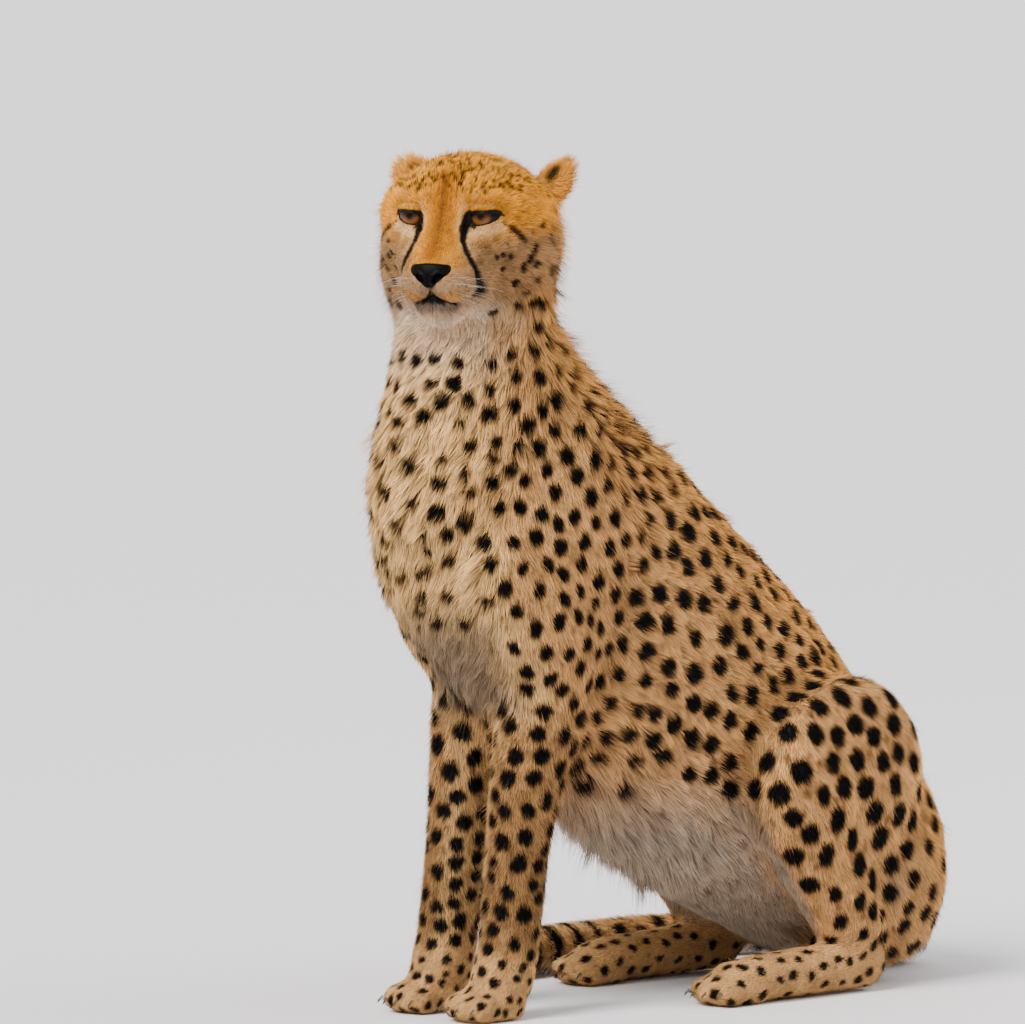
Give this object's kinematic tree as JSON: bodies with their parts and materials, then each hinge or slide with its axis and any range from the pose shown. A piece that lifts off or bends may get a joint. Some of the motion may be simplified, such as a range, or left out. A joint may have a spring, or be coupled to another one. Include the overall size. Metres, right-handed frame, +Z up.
{
  "type": "sitting cheetah model",
  "caption": "Life-size still model of a sitting cheetah, head turned to its left, tail curled round its right side.",
  "frame": {"origin": "middle of the model's base on the floor (bounding box bottom centre)", "axes": "+Z up; the animal's body faces -Y; its left side is +X; its head is turned 30 degrees to its left"},
  "size_m": [0.4304, 0.8154, 0.9205],
  "materials": {
    "coat": "short golden fur with solid black spots",
    "pale_coat": "longer pale fur with black spots",
    "bare_skin": "moist black nose leather",
    "eye": "wet amber eye with a round pupil",
    "horn": "dark horn"
  },
  "bodies": {
    "root": {"belly": "pale_coat", "chest": "pale_coat", "claw_forepaw_left_1": "horn", "claw_forepaw_left_2": "horn", "claw_forepaw_left_3": "horn", "claw_forepaw_left_4": "horn", "claw_forepaw_right_1": "horn", "claw_forepaw_right_2": "horn", "claw_forepaw_right_3": "horn", "claw_forepaw_right_4": "horn", "claw_hind_foot_left_1": "horn", "claw_hind_foot_left_2": "horn", "claw_hind_foot_left_3": "horn", "claw_hind_foot_left_4": "horn", "claw_hind_foot_right_1": "horn", "claw_hind_foot_right_2": "horn", "claw_hind_foot_right_3": "horn", "claw_hind_foot_right_4": "horn", "ear_left": "coat", "ear_right": "coat", "eye_left": "eye", "eye_right": "eye", "forearm_left": "coat", "forearm_right": "coat", "forepaw_left": "coat", "forepaw_right": "coat", "head": "coat", "hind_foot_left": "coat", "hind_foot_right": "coat", "neck": "coat", "nose": "bare_skin", "rump": "coat", "shank_left": "coat", "shank_right": "coat", "tail_1": "coat", "tail_2": "coat", "tail_3": "coat", "tail_4": "coat", "thigh_left": "coat", "thigh_right": "coat", "upper_arm_left": "coat", "upper_arm_right": "coat"}
  },
  "joints": []
}
